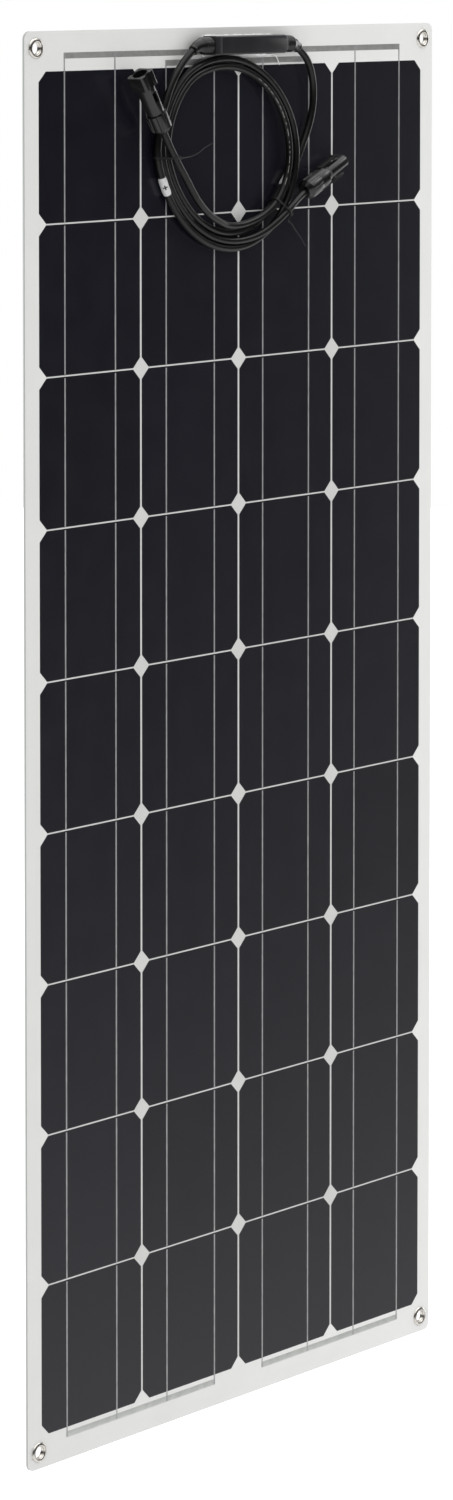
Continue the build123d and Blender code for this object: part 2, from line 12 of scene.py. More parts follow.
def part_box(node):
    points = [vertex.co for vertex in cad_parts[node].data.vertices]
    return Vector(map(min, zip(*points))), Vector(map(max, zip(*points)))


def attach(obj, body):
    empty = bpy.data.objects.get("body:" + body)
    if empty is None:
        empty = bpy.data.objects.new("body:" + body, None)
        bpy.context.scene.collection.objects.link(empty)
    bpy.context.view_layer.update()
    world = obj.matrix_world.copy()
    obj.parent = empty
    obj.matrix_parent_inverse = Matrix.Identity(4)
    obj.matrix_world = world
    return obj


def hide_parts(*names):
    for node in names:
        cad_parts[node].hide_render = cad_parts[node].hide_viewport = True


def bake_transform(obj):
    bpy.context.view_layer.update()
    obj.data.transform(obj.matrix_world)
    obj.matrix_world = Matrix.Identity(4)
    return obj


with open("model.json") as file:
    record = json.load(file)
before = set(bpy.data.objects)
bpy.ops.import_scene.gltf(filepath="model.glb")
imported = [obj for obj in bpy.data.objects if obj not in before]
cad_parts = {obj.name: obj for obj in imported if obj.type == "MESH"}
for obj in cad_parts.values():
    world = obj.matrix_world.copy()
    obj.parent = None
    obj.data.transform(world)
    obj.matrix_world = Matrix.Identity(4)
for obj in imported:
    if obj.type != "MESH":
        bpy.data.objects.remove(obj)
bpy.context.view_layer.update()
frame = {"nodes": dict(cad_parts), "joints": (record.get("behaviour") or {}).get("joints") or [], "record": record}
node = frame["nodes"]
scene = bpy.context.scene
MM = 0.001


# ---------------------------------------------------------------- helpers

def link(name, data):
    made = bpy.data.objects.new(name, data)
    scene.collection.objects.link(made)
    return made


def eased(keys, angle):
    """The values between an ordered list of (angle, value, value) keys, on a smooth curve through them."""
    onward = 1 if keys[-1][0] > keys[0][0] else -1
    last = len(keys) - 2
    at = next((i for i in range(last) if onward * angle <= onward * keys[i + 1][0]), last)
    before, near, far, after = keys[max(at - 1, 0)], keys[at], keys[at + 1], keys[min(at + 2, last + 1)]
    span = far[0] - near[0]
    t = (angle - near[0]) / span
    values = []
    for k in range(1, len(near)):
        leave = (far[k] - before[k]) / (far[0] - before[0]) * span
        arrive = (after[k] - near[k]) / (after[0] - near[0]) * span
        values.append((2 * t**3 - 3 * t * t + 1) * near[k] + (t**3 - 2 * t * t + t) * leave
                      + (3 * t * t - 2 * t**3) * far[k] + (t**3 - t * t) * arrive)
    return values


# ---------------------------------------------------------------- camera

def add_camera():
    data = bpy.data.cameras.new("camera")
    data.sensor_width = 36
    data.lens = 113.2
    data.shift_y = -0.35
    camera = link("camera", data)
    camera.location = (-3.0893, -2.6191, 0.6706)
    camera.rotation_mode = "QUATERNION"
    camera.rotation_quaternion = Vector((0.76003, 0.64711, -0.05999)).to_track_quat("-Z", "Y")
    scene.camera = camera


add_camera()


# ---------------------------------------------------------------- the two leads

LEAD_DIAMETER = 0.0062
COIL_CENTRE = (-0.017, 0.494)
COIL_STEP = 14          # degrees between the points of a turn

# The stretch from each boot down to the coil.
POSITIVE_START = [(-0.068, -0.0108, 0.5795), (-0.078, -0.0108, 0.573), (-0.0875, -0.0108, 0.5635),
                  (-0.0955, -0.0098, 0.5515), (-0.1015, -0.009, 0.538), (-0.1065, -0.0083, 0.5235),
                  (-0.1098, -0.008, 0.5085)]
NEGATIVE_START = [(0.068, -0.0108, 0.5795), (0.078, -0.0108, 0.573), (0.0865, -0.0108, 0.5625),
                  (0.092, -0.0095, 0.5495), (0.0938, -0.0088, 0.535), (0.092, -0.0082, 0.5205),
                  (0.087, -0.0076, 0.5065), (0.080, -0.007, 0.493), (0.0735, -0.0064, 0.48)]
# The turns: (degrees round the coil from +X towards +Z, distance from its centre, y), both in millimetres.
POSITIVE_TURNS = [(182, 95.3, -7.6), (208, 88.5, -7), (236, 85.5, -7), (264, 86, -7), (292, 88, -7.2),
                  (317, 87.5, -10), (339, 84.5, -12.8), (367, 81.5, -12.6), (398, 77, -11), (431, 76, -8),
                  (464, 78.7, -7), (493, 86, -7), (519, 88, -7), (543, 88.3, -7), (568, 82.1, -7),
                  (597, 79, -7), (630, 80, -8), (657, 83, -13)]
NEGATIVE_TURNS = [(338, 79.5, -7), (318, 76, -6.8), (294, 74.2, -6.8), (265, 73, -7), (236, 72.7, -7),
                  (206, 76, -7), (181, 82, -7), (157, 81, -7), (132, 79.2, -7), (103, 72, -7),
                  (71, 69.4, -8), (38, 70.3, -11), (7, 72.8, -12.6), (-21, 75.2, -12.8), (-43, 73.5, -12.8),
                  (-70, 68, -11.5), (-98, 66.5, -11.6)]
# The stretch from the coil into each connector.
POSITIVE_END = [(0.036, -0.017, 0.43), (0.0505, -0.0186, 0.4406), (0.068, -0.0156, 0.4509),
                (0.0862, -0.015, 0.4595)]
NEGATIVE_END = [(-0.038, -0.014, 0.432), (-0.052, -0.016, 0.4375), (-0.066, -0.018, 0.446),
                (-0.079, -0.020, 0.4575), (-0.090, -0.021, 0.471), (-0.1025, -0.021, 0.4865),
                (-0.1154, -0.021, 0.5051), (-0.1267, -0.021, 0.524)]


def coil_turns(keys):
    """The control points of a lead's turns, one every COIL_STEP degrees."""
    first, last = keys[0][0], keys[-1][0]
    steps = round(abs(last - first) / COIL_STEP)
    points = []
    for i in range(steps + 1):
        angle = first + (last - first) * i / steps
        radius, y = eased(keys, angle)
        turn = math.radians(angle)
        points.append((COIL_CENTRE[0] + radius * MM * math.cos(turn), y * MM,
                       COIL_CENTRE[1] + radius * MM * math.sin(turn)))
    return points


def spline_line(points):
    """The points of one smooth NURBS spline with these control points."""
    data = bpy.data.curves.new("route", "CURVE")
    data.dimensions = "3D"
    spline = data.splines.new("NURBS")
    spline.points.add(len(points) - 1)
    for point, place in zip(spline.points, points):
        point.co = (*place, 1)
    spline.order_u = 3
    spline.use_endpoint_u = True
    spline.resolution_u = 8
    route = bpy.data.objects.new("route", data)
    read = bpy.data.meshes.new_from_object(route)
    line = [vertex.co.copy() for vertex in read.vertices]
    bpy.data.objects.remove(route)
    bpy.data.meshes.remove(read)
    return line


POSITIVE_LINE = spline_line(POSITIVE_START + coil_turns(POSITIVE_TURNS) + POSITIVE_END)
NEGATIVE_LINE = spline_line(NEGATIVE_START + coil_turns(NEGATIVE_TURNS) + NEGATIVE_END)


# ---------------------------------------------------------------- finishes

def add_node(tree, kind, inputs=(), **settings):
    """A new shader node. Each of its inputs takes a value, or a link from another node's output."""
    made = tree.nodes.new(kind)
    for name, value in settings.items():
        setattr(made, name, value)
    for socket, value in inputs:
        if isinstance(value, bpy.types.NodeSocket):
            tree.links.new(value, made.inputs[socket])
        else:
            made.inputs[socket].default_value = value
    return made


class Finish:
    """A procedural material in the making: one Principled shader and the nodes that feed it."""

    def __init__(self, name, **sockets):
        self.material = bpy.data.materials.new(name)
        self.material.use_nodes = True
        self.tree = self.material.node_tree
        self.shader = self.tree.nodes["Principled BSDF"]
        for socket, value in sockets.items():
            self.shader.inputs[socket.replace("_", " ")].default_value = value
        self.coords = self.add("ShaderNodeTexCoord").outputs["Object"]

    def add(self, kind, inputs=(), **settings):
        return add_node(self.tree, kind, inputs, **settings)

    def stretched(self, scale):
        """Object coordinates, scaled unevenly."""
        return self.add("ShaderNodeMapping", [("Vector", self.coords), ("Scale", scale)]).outputs["Vector"]

    def noise(self, scale, detail=3.0, coords=None):
        inputs = [("Vector", coords or self.coords), ("Scale", scale), ("Detail", detail)]
        return self.add("ShaderNodeTexNoise", inputs).outputs["Fac"]

    def math(self, operation, a, b=0.0, c=0.0):
        inputs = [(0, a), (1, b), (2, c)]
        return self.add("ShaderNodeMath", inputs, operation=operation).outputs[0]

    def axis(self, name):
        return self.add("ShaderNodeSeparateXYZ", [(0, self.coords)]).outputs[name]

    def ramp(self, fac, *stops):
        """A colour or grey that follows fac between (position, (r, g, b)) stops."""
        made = self.add("ShaderNodeValToRGB", [("Fac", fac)])
        elements = made.color_ramp.elements
        while len(elements) < len(stops):
            elements.new(0.5)
        for element, (position, colour) in zip(elements, stops):
            element.position = position
            element.color = (*colour, 1)
        return made.outputs["Color"]

    def blend(self, fac, a, b):
        """Colour a where fac is 0 and b where it is 1."""
        ends = [end if isinstance(end, bpy.types.NodeSocket) else (*end, 1) for end in (a, b)]
        inputs = [(0, fac), (6, ends[0]), (7, ends[1])]
        return self.add("ShaderNodeMix", inputs, data_type="RGBA").outputs[2]

    def colour(self, source):
        self.tree.links.new(source, self.shader.inputs["Base Color"])
        return self

    def rough(self, source, low, high):
        spread = self.math("MULTIPLY_ADD", source, high - low, low)
        self.tree.links.new(spread, self.shader.inputs["Roughness"])
        return self

    def bump(self, *heights):
        """Stacked bumps of (height source, depth in metres)."""
        normal = None
        for source, depth in heights:
            inputs = [("Height", source), ("Distance", depth), ("Strength", 1.0)]
            if normal:
                inputs.append(("Normal", normal))
            normal = self.add("ShaderNodeBump", inputs).outputs["Normal"]
        self.tree.links.new(normal, self.shader.inputs["Normal"])
        return self


SHEET_WIDTH, SHEET_DEPTH = 0.54, 0.0025
GRID_Z = -0.003            # the height of the cell grid's middle
COLUMN_PITCH, ROW_PITCH = 0.127, 0.1262
FINGER_PITCH = 0.00195
CELL_HALF = 0.0625
WAFER_RADIUS = 0.0825      # the round wafer that a cell is cut from
CELL_CLIP = math.sqrt(WAFER_RADIUS**2 - CELL_HALF**2)     # half the straight part of a cell's side


def to_right(f):
    """0 at the sheet's left edge and 1 at its right."""
    return f.math("MULTIPLY_ADD", f.axis("X"), 1 / SHEET_WIDTH, 0.5)


def near_grid(f, half_x, half_z):
    """1 within these distances of the cell grid's middle, and 0 outside."""
    inside_x = f.math("LESS_THAN", f.math("ABSOLUTE", f.axis("X")), half_x)
    off_z = f.math("ABSOLUTE", f.math("SUBTRACT", f.axis("Z"), GRID_Z))
    return f.math("MULTIPLY", inside_x, f.math("LESS_THAN", off_z, half_z))


def cell_finish():
    """Dark blue-grey silicon with fine cross fingers, under a satin film, with a painted sheen that brightens it
    towards the right.
    """
    f = Finish("cell_silicon", Specular_IOR_Level=0.5)
    x, z = f.axis("X"), f.axis("Z")
    finger_wave = f.math("SINE", f.math("MULTIPLY", z, 2 * math.pi / FINGER_PITCH))
    fingers = f.math("POWER", f.math("MULTIPLY_ADD", finger_wave, 0.5, 0.5), 6.0)
    column = f.math("FLOOR", f.math("DIVIDE", x, COLUMN_PITCH))
    row = f.math("FLOOR", f.math("DIVIDE", f.math("ADD", z, ROW_PITCH / 2 - GRID_Z), ROW_PITCH))
    which = f.add("ShaderNodeCombineXYZ", [("X", column), ("Y", row)]).outputs[0]
    tone = f.add("ShaderNodeTexWhiteNoise", [("Vector", which)], noise_dimensions="3D").outputs["Value"]
    mottle = f.noise(38.0, 4.0)
    shade = f.math("MULTIPLY_ADD", tone, 0.35, f.math("MULTIPLY", mottle, 0.65))
    silicon = f.ramp(shade, (0.2, (0.0028, 0.0029, 0.0060)), (0.8, (0.0046, 0.0047, 0.0092)))
    # Painted sheen: the silicon's colour is painted lighter towards the sheet's right, standing in for a
    # reflection.
    painted_sheen = f.math("MULTIPLY", f.math("POWER", to_right(f), 2.0), 0.5)
    with_painted_sheen = f.blend(painted_sheen, silicon, (0.016, 0.016, 0.0185))
    f.colour(f.blend(f.math("MULTIPLY", fingers, 0.05), with_painted_sheen, (0.07, 0.07, 0.075)))
    weave = f.noise(900.0, 2.0)
    f.rough(mottle, 0.20, 0.27)
    return f.bump((weave, 0.00002), (fingers, 0.000008)).material


def sheet_front_finish():
    """White laminate under its front film, with painted light brightening its margins towards the right and
    painted shade making it a little greyer between the cells.
    """
    f = Finish("laminate_front", Specular_IOR_Level=0.35)
    painted_shade_area = near_grid(f, 1.5 * COLUMN_PITCH + CELL_CLIP, 4 * ROW_PITCH + CELL_CLIP)
    cloud = f.noise(26.0, 4.0)
    # Painted light: the margin is painted brighter towards the sheet's right, mixed with a random cloud of tone.
    tone = f.math("MULTIPLY_ADD", to_right(f), 0.6, f.math("MULTIPLY", cloud, 0.4))
    margin = f.ramp(tone, (0.2, (0.520, 0.520, 0.509)), (0.8, (0.578, 0.578, 0.568)))
    # Painted shade: the field between the cells is painted greyer than the margin.
    between = f.ramp(cloud, (0.3, (0.43, 0.43, 0.42)), (0.7, (0.465, 0.465, 0.455)))
    f.colour(f.blend(painted_shade_area, margin, between))
    f.rough(cloud, 0.32, 0.46)
    ripple = f.noise(60.0, 2.0, f.stretched((1, 1, 0.35)))
    return f.bump((ripple, 0.00025), (f.noise(1100.0, 2.0), 0.00003)).material


def sheet_edge_finish():
    """The cut edge, where the clear middle layer shows between film and backsheet."""
    f = Finish("laminate_edge", Roughness=0.5, Specular_IOR_Level=0.4)
    depth = f.math("MULTIPLY", f.axis("Y"), -1 / SHEET_DEPTH)
    ragged = f.math("MULTIPLY_ADD", f.noise(420.0, 3.0), 0.06, f.math("SUBTRACT", depth, 0.03))
    white, clear, film = (0.50, 0.50, 0.49), (0.30, 0.32, 0.31), (0.42, 0.44, 0.43)
    f.colour(f.ramp(ragged, (0.0, white), (0.38, white), (0.41, clear), (0.90, clear), (0.93, film)))
    return f.bump((f.noise(700.0, 3.0), 0.00008)).material


def backsheet_finish():
    """Matte white backsheet with a fine grain, where the cells print through as faint squares."""
    f = Finish("laminate_back", Specular_IOR_Level=0.3)
    printed = 1.0
    for name, pitch, start in (("X", COLUMN_PITCH, 0.0), ("Z", ROW_PITCH, GRID_Z - ROW_PITCH / 2)):
        along = f.math("FRACT", f.math("DIVIDE", f.math("SUBTRACT", f.axis(name), start), pitch))
        off_middle = f.math("ABSOLUTE", f.math("SUBTRACT", along, 0.5))
        printed = f.math("MULTIPLY", printed, f.math("LESS_THAN", off_middle, CELL_HALF / pitch))
    printed = f.math("MULTIPLY", printed, near_grid(f, 2 * COLUMN_PITCH, 4.5 * ROW_PITCH))
    cloud = f.noise(14.0, 5.0)
    plain = f.ramp(cloud, (0.3, (0.46, 0.46, 0.455)), (0.7, (0.50, 0.50, 0.495)))
    over_cells = f.ramp(cloud, (0.3, (0.415, 0.415, 0.415)), (0.7, (0.455, 0.455, 0.455)))
    f.colour(f.blend(printed, plain, over_cells))
    f.rough(f.noise(90.0), 0.45, 0.62)
    grain, waves = f.noise(1500.0, 2.0), f.noise(22.0, 2.0)
    return f.bump((printed, 0.0002), (grain, 0.00004), (waves, 0.0003)).material


def ribbon_finish(name, low, high):
    """Tinned copper strip under film: rolled grain along it, with dull patches."""
    f = Finish(name, Metallic=0.55)
    patches = f.noise(160.0, 4.0)
    f.colour(f.ramp(patches, (0.3, low), (0.7, high)))
    f.rough(f.noise(700.0, 2.0), 0.36, 0.5)
    rolled = f.noise(2600.0, 2.0, f.stretched((1, 1, 0.2)))
    return f.bump((rolled, 0.00002), (patches, 0.00004)).material


def metal_finish():
    """Nickel-plated brass eyelet with turning marks and fine scratches."""
    f = Finish("eyelet_nickel", Metallic=1.0)
    wear = f.noise(520.0, 5.0)
    f.colour(f.ramp(wear, (0.35, (0.50, 0.475, 0.44)), (0.65, (0.68, 0.66, 0.62))))
    f.rough(wear, 0.16, 0.34)
    return f.bump((f.noise(2400.0, 3.0, f.stretched((1, 1, 0.3))), 0.00002)).material


def dark_plastic(name, low, high, smooth, dull, grain, depth, specular=0.5):
    """Black moulded plastic or rubber: a fine grain, with slightly greyer, duller patches."""
    f = Finish(name, Specular_IOR_Level=specular)
    patches = f.noise(95.0, 4.0)
    f.colour(f.ramp(patches, (0.3, low), (0.7, high)))
    f.rough(f.noise(240.0, 3.0), smooth, dull)
    return f.bump((f.noise(grain, 2.0), depth), (patches, 0.00006)).material


def pale_finish(name, low, high, rough, scale, depth):
    """A pale soft or printed surface with a slightly uneven colour."""
    f = Finish(name, Specular_IOR_Level=0.45)
    cloud = f.noise(scale, 4.0)
    f.colour(f.ramp(cloud, (0.3, low), (0.7, high)))
    f.rough(cloud, rough - 0.08, rough + 0.08)
    return f.bump((cloud, depth)).material


FINISH = {
    "cell": cell_finish(),
    "front": sheet_front_finish(),
    "edge": sheet_edge_finish(),
    "back": backsheet_finish(),
    "ribbon": ribbon_finish("cell_ribbon_tin", (0.28, 0.28, 0.285), (0.38, 0.38, 0.385)),
    "bus": ribbon_finish("bus_ribbon_tin", (0.26, 0.26, 0.255), (0.33, 0.33, 0.325)),
    # Painted light: the bottom bus ribbons are a lighter copy of the same tinned strip as the top ones.
    "low_bus": ribbon_finish("low_bus_ribbon_tin", (0.42, 0.43, 0.415), (0.50, 0.51, 0.49)),
    "metal": metal_finish(),
    "box": dark_plastic("box_moulding", (0.0085, 0.0085, 0.0100), (0.0125, 0.0125, 0.0145),
                        0.26, 0.36, 2200.0, 0.00003),
    "boot": dark_plastic("boot_rubber_skin", (0.0030, 0.0030, 0.0033), (0.006, 0.006, 0.0064),
                         0.16, 0.26, 900.0, 0.00003, 0.32),
    "jacket": dark_plastic("lead_jacket_skin", (0.0024, 0.0023, 0.0021), (0.0046, 0.0044, 0.0041),
                           0.24, 0.34, 1400.0, 0.00003, 0.27),
    "connector": dark_plastic("connector_moulding", (0.0028, 0.0028, 0.0028), (0.0052, 0.0052, 0.0052),
                              0.18, 0.30, 1700.0, 0.00002),
    "tie": dark_plastic("tie_sleeve", (0.004, 0.004, 0.004), (0.007, 0.007, 0.007),
                        0.4, 0.5, 1500.0, 0.00002, 0.3),
    "inner_rubber": dark_plastic("seal_skin", (0.02, 0.02, 0.02), (0.03, 0.03, 0.03),
                                 0.5, 0.65, 800.0, 0.00003),
    "adhesive": pale_finish("silicone_bead", (0.70, 0.71, 0.70), (0.80, 0.81, 0.80), 0.38, 240.0, 0.0003),
    "label": pale_finish("label_sleeve", (0.42, 0.42, 0.42), (0.50, 0.50, 0.495), 0.36, 300.0, 0.00005),
    "print": pale_finish("jacket_print", (0.12, 0.12, 0.115), (0.26, 0.26, 0.25), 0.4, 900.0, 0.00002),
    "clamp": pale_finish("clamp_moulding", (0.5, 0.5, 0.47), (0.6, 0.6, 0.57), 0.5, 400.0, 0.00003),
}
SLOT_FINISH = {
    "backsheet": "back", "encapsulant": "edge", "front_film": "front", "cell": "cell", "ribbon": "bus",
    "eyelet_metal": "metal", "adhesive": "adhesive", "box_plastic": "box", "potting": "inner_rubber",
    "diode_plastic": "connector", "contact_metal": "metal", "boot_rubber": "boot", "lead_jacket": "jacket",
    "label": "label", "tie_plastic": "tie", "connector_plastic": "connector", "clamp_plastic": "clamp",
    "seal_rubber": "inner_rubber",
}


def dress(piece, *finishes):
    """Gives a piece its materials, by finish name."""
    piece.data.materials.clear()
    for name in finishes:
        piece.data.materials.append(FINISH[name])
    return piece


for part in frame["record"]["subparts"]:
    for place in node[part["node"]].material_slots:
        place.material = FINISH[SLOT_FINISH[part["material_slot"]]]


# ---------------------------------------------------------------- mesh helpers

HARD_EDGE = math.radians(32)             # edges sharper than this are rounded over in a moulding
SAME_FACE = math.radians(1)              # faces that turn less than this from each other become one


def mesh_piece(name, work, *finishes, sharp=math.radians(40)):
    """A new piece from a bmesh, with smooth faces and sharp corners."""
    bmesh.ops.recalc_face_normals(work, faces=work.faces)
    data = bpy.data.meshes.new(name)
    work.to_mesh(data)
    work.free()
    data.polygons.foreach_set("use_smooth", [True] * len(data.polygons))
    data.set_sharp_from_angle(angle=sharp)
    return dress(link(name, data), *finishes)


def placed(piece, body, slot, *replaced):
    """Lets a piece ride on a body and hides the nodes it stands for. The slot is not used."""
    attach(piece, body)
    if replaced:
        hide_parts(*replaced)
    return piece


def skin(work, rings, caps=True):
    """Faces between closed rings that have the same number of points, and over the two ends."""
    rows = [[work.verts.new(p) for p in ring] for ring in rings]
    for lower, upper in zip(rows, rows[1:]):
        for i in range(len(lower)):
            j = (i + 1) % len(lower)
            work.faces.new((lower[i], lower[j], upper[j], upper[i]))
    if caps:
        work.faces.new(rows[0])
        work.faces.new(rows[-1][::-1])


def lathe(work, profile, centre, axis, sides=48):
    """A closed solid turned about an axis from an outline of (radius, height) points."""
    turn = Vector(axis).to_track_quat("Z", "Y").to_matrix()
    rings = []
    for k in range(sides):
        angle = 2 * math.pi * k / sides
        spoke = Vector((math.cos(angle), math.sin(angle), 0))
        rings.append([Vector(centre) + turn @ (spoke * r + Vector((0, 0, h))) for r, h in profile])
    skin(work, rings + [rings[0]], caps=False)
    bmesh.ops.remove_doubles(work, verts=work.verts, dist=1e-7)


def sweep(work, line, radius, sides=20, side=Vector((0, 1, 0))):
    """A tube along a line that never runs along side. Its radius is a function of the share of its length."""
    steps = [(b - a).length for a, b in zip(line, line[1:])]
    total, gone, rings = sum(steps), 0.0, []
    for i, here in enumerate(line):
        ahead = (line[min(i + 1, len(line) - 1)] - line[max(i - 1, 0)]).normalized()
        across = side.cross(ahead).normalized()
        out = ahead.cross(across)
        r = radius(gone / total)
        angles = [2 * math.pi * k / sides for k in range(sides)]
        rings.append([here + across * (r * math.cos(a)) + out * (r * math.sin(a)) for a in angles])
        if i < len(steps):
            gone += steps[i]
    skin(work, rings)


def smooth_line(points, count):
    """Points along a smooth curve through a short list of points."""
    spots = [Vector(p) for p in points]
    spots = [2 * spots[0] - spots[1]] + spots + [2 * spots[-1] - spots[-2]]
    spans = len(points) - 1
    line = []
    for k in range(count + 1):
        where = min(k / count * spans, spans - 1e-9)
        i, t = int(where), where - int(where)
        a, b, c, d = spots[i:i + 4]
        line.append(0.5 * (2 * b + (c - a) * t + (2 * a - 5 * b + 4 * c - d) * t**2
                           + (3 * b - a - 3 * c + d) * t**3))
    return line


def softened(source, width, name):
    """A copy of a CAD node with its hard edges rounded over, as a moulding has them."""
    work = bmesh.new()
    work.from_mesh(node[source].data)
    bmesh.ops.remove_doubles(work, verts=work.verts, dist=1e-6)
    bmesh.ops.dissolve_limit(work, angle_limit=SAME_FACE, verts=work.verts, edges=work.edges)
    edges = [e for e in work.edges if e.is_manifold and e.calc_face_angle(0) > HARD_EDGE]
    bmesh.ops.bevel(work, geom=edges, offset=width, segments=3, profile=0.5, affect="EDGES",
                    clamp_overlap=True)
    return mesh_piece(name, work, sharp=math.radians(50))


# ---------------------------------------------------------------- the laminate

SHEET_HALF_W = SHEET_WIDTH / 2
SHEET_LOW, SHEET_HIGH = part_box("bottom_backsheet")[0].z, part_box("top_backsheet")[1].z
SHEET_CORNER_R = 0.007
FRONT_Y = -0.00235         # the laminate's face between the cells
CELL_Y = -0.00247          # the cells' face
RIBBON_Y = -0.00256
SUNK_Y = FRONT_Y + 0.0001  # where the hidden underside of a cell or a bus ribbon lies
EDGE_ROUND = 0.0002        # how far the front face's edge is eased
EDGE_FRONT = -0.0022       # where the easing starts on the sheet's edge
EYELET_X = 0.256
EYELET_Z = 0.5835
EYELET_HOLE_R = 0.0055
LEVEL_STEP = 0.005         # between the levels at which the sheet is divided
HINGES = [joint["pos_m"][2] for joint in frame["joints"] if joint["name"].startswith("sheet_bend")]
PANELS = ["top_panel", "upper_panel", "middle_panel", "lower_panel", "bottom_panel"]
CUTS = [SHEET_HIGH] + [(a + b) / 2 for a, b in zip(HINGES, HINGES[1:])] + [SHEET_LOW]
LAYER_NODES = ("backsheet", "encapsulant", "front_film")


def bend_over(piece):
    """Bakes the placement of a part of the sheet into its mesh."""
    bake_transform(piece)


def stands_for(k, kinds):
    """Part k of the sheet covers panel k, and the last part the last panel too."""
    covered = PANELS[k:k + 1] if k < len(HINGES) - 1 else PANELS[k:]
    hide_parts(*[f"{panel.split('_')[0]}_{kind}" for panel in covered for kind in kinds])


def spaced(low, high, step):
    """Even levels from low to high, about step apart."""
    count = max(1, round((high - low) / step))
    return [low + (high - low) * i / count for i in range(count + 1)]


def sheet_half_width(z):
    """Half the sheet's width at a height, less at its round corners."""
    to_end = min(SHEET_HIGH - z, z - SHEET_LOW)
    if to_end >= SHEET_CORNER_R:
        return SHEET_HALF_W
    drop = SHEET_CORNER_R - max(to_end, 0.0)
    return SHEET_HALF_W - SHEET_CORNER_R + math.sqrt(max(SHEET_CORNER_R**2 - drop**2, 0.0))


def sheet_ring(z):
    """The closed outline of the sheet's section at one height."""
    half = sheet_half_width(z)
    face = half - EDGE_ROUND
    across = [x / 12 for x in range(-11, 12)]
    spots = [(-half, 0.0), (-half, -0.001), (-half, EDGE_FRONT), (-face, FRONT_Y)]
    spots += [(face * t, FRONT_Y) for t in across]
    spots += [(face, FRONT_Y), (half, EDGE_FRONT), (half, -0.001), (half, 0.0)]
    spots += [(half * t, 0.0) for t in reversed(across)]
    return [(x, y, z) for x, y in spots]


def corner_levels():
    """Distances from the sheet's end at which its round corner is drawn."""
    return [SHEET_CORNER_R * (1 - math.cos(math.radians(a))) for a in (0, 15, 30, 45, 60, 75, 90)]


def drill_eyelets(piece, z):
    """Cuts the two eyelet holes at one height through the sheet."""
    for side in (-1, 1):
        work = bmesh.new()
        bmesh.ops.create_cone(work, cap_ends=True, segments=48, radius1=EYELET_HOLE_R,
                              radius2=EYELET_HOLE_R, depth=0.02)
        place = Matrix.Translation((side * EYELET_X, 0, z)) @ Matrix.Rotation(math.pi / 2, 4, "X")
        bmesh.ops.transform(work, matrix=place, verts=work.verts)
        cutter = mesh_piece("eyelet_cutter", work)
        modifier = piece.modifiers.new("hole", "BOOLEAN")
        modifier.operation = "DIFFERENCE"
        modifier.object = cutter
        modifier.solver = "EXACT"
        drilled = piece.evaluated_get(bpy.context.evaluated_depsgraph_get())
        settled = bpy.data.meshes.new_from_object(drilled)
        piece.modifiers.clear()
        piece.data = settled
        bpy.data.objects.remove(cutter)


def add_laminate(k):
    """Part k of the sheet, with its front, edge and back finishes."""
    clear = SHEET_CORNER_R + 0.001
    levels = spaced(CUTS[k + 1], CUTS[k], LEVEL_STEP)
    if k == 0:
        levels = [z for z in levels if z < SHEET_HIGH - clear]
        levels += [SHEET_HIGH - d for d in reversed(corner_levels())]
    if k == len(HINGES) - 1:
        levels = [z for z in levels if z > SHEET_LOW + clear]
        levels = [SHEET_LOW + d for d in corner_levels()] + levels
    work = bmesh.new()
    skin(work, [sheet_ring(z) for z in levels])
    piece = mesh_piece(f"laminate_{k + 1}", work, "front", "edge", "back", sharp=math.radians(30))
    for face in piece.data.polygons:
        face.material_index = 0 if face.normal.y < -0.6 else 2 if face.normal.y > 0.9 else 1
    if k == 0:
        drill_eyelets(piece, EYELET_Z)
    if k == len(HINGES) - 1:
        drill_eyelets(piece, -EYELET_Z)
    bend_over(piece)
    stands_for(k, LAYER_NODES)


# ---------------------------------------------------------------- cells and ribbons

CELL_EDGE = 0.00035        # the eased rim of a cell
RIBBON_OFFSET = 0.03125
RIBBON_HALF = 0.0008
STRIP_EASE = 0.00003       # how far a ribbon's or a bus ribbon's edge is eased
BUS_HALF = 0.0025
BUS_TOP_Z, BUS_MIDDLE_Z, BUS_BOTTOM_Z = 0.577, 0.5685, -0.5765
COLUMN_X = [COLUMN_PITCH * (c - 1.5) for c in range(4)]
ROW_Z = [GRID_Z + ROW_PITCH * (4 - r) for r in range(9)]
RIBBON_X = [x + side * RIBBON_OFFSET for x in COLUMN_X for side in (-1, 1)]


def rows_of(k):
    """The cell rows in part k of the sheet."""
    return [z for z in ROW_Z if CUTS[k + 1] < z < CUTS[k]]


def cell_half_width(height):
    """Half a cell's width at a height from its middle: a square with its corners clipped."""
    return CELL_HALF - max(0.0, abs(height) - CELL_CLIP)


def add_cell(work, x, z):
    """One cell with clipped corners, a little proud of the sheet's face."""
    clipped = [CELL_HALF, CELL_HALF - CELL_EDGE, CELL_HALF - 0.003, CELL_CLIP + 0.003, CELL_CLIP]
    straight = spaced(-CELL_CLIP, CELL_CLIP, LEVEL_STEP)[1:-1]
    heights = [-h for h in clipped] + straight + clipped[::-1]
    rings = []
    for h in heights:
        at_end = abs(h) == CELL_HALF
        half = cell_half_width(h) - (CELL_EDGE * 0.4 if at_end else 0)
        face_y = FRONT_Y if at_end else CELL_Y
        lip = half - CELL_EDGE
        spots = [(-half, SUNK_Y), (-half, FRONT_Y), (-lip, face_y), (0.0, face_y), (lip, face_y),
                 (half, FRONT_Y), (half, SUNK_Y)]
        rings.append([(x + dx, y, z + h) for dx, y in spots])
    skin(work, rings)


def add_cells(k):
    """The cells of part k of the sheet."""
    work = bmesh.new()
    for z in rows_of(k):
        for x in COLUMN_X:
            add_cell(work, x, z)
    piece = mesh_piece(f"cells_{k + 1}", work, "cell", sharp=math.radians(8))
    bend_over(piece)
    stands_for(k, ("cells",))


